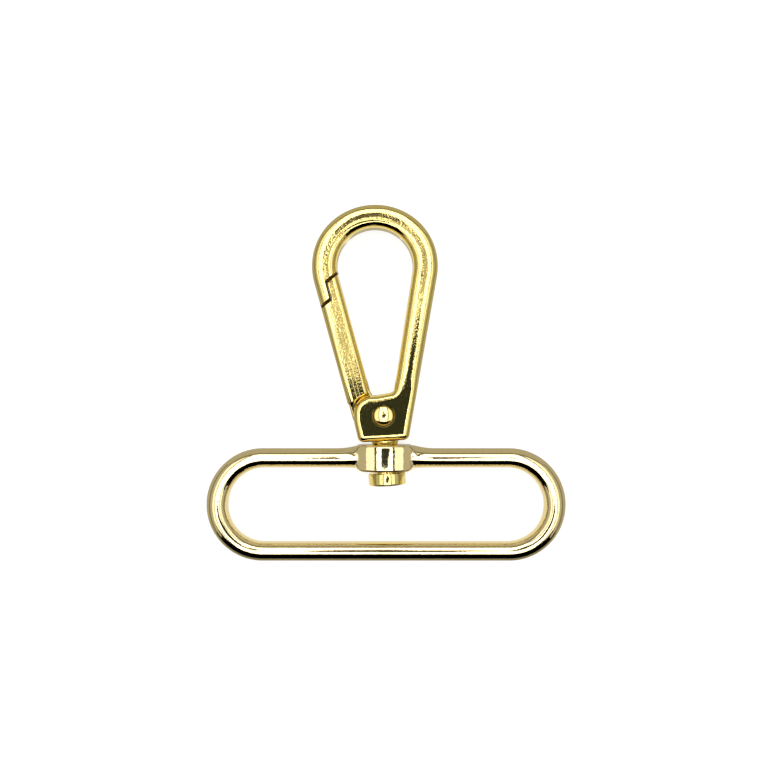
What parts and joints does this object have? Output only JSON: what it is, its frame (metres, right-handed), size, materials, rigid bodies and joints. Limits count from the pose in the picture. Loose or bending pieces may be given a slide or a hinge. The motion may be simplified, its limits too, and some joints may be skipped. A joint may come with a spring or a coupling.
{
  "type": "swivel snap hook",
  "caption": "Gold plated swivel snap hook with a sprung gate and a wide oval loop for a 50 mm flat strap.",
  "frame": {"origin": "centre of the strap slot, on the middle plane of the loop", "axes": "+Y towards the hook, +X along the strap slot, +Z out of the face that the picture shows"},
  "size_m": [0.0568, 0.0564, 0.0062],
  "materials": {
    "hook_gold": "polished",
    "loop_gold": "polished",
    "spring_steel": "bright"
  },
  "bodies": {
    "loop": {"strap_loop": "loop_gold"},
    "hook": {"hook_body": "hook_gold", "swivel_stud": "hook_gold", "gate_pin": "hook_gold", "gate_spring": "spring_steel"},
    "gate": {"gate": "hook_gold"}
  },
  "joints": [
    {"name": "swivel", "type": "hinge", "parent": "loop", "child": "hook", "pos_m": [0, 0.00717, 0], "axis": [-0.0576, 0.9983, 0], "continuous": true},
    {"name": "gate_hinge", "type": "hinge", "parent": "hook", "child": "gate", "pos_m": [-0.0004, 0.01411, 0], "axis": [0, 0, -1], "range_deg": [0, 26], "stiffness_Nm_per_rad": 0.02, "springref_deg": -57.3, "deforming": ["gate_spring"]}
  ]
}
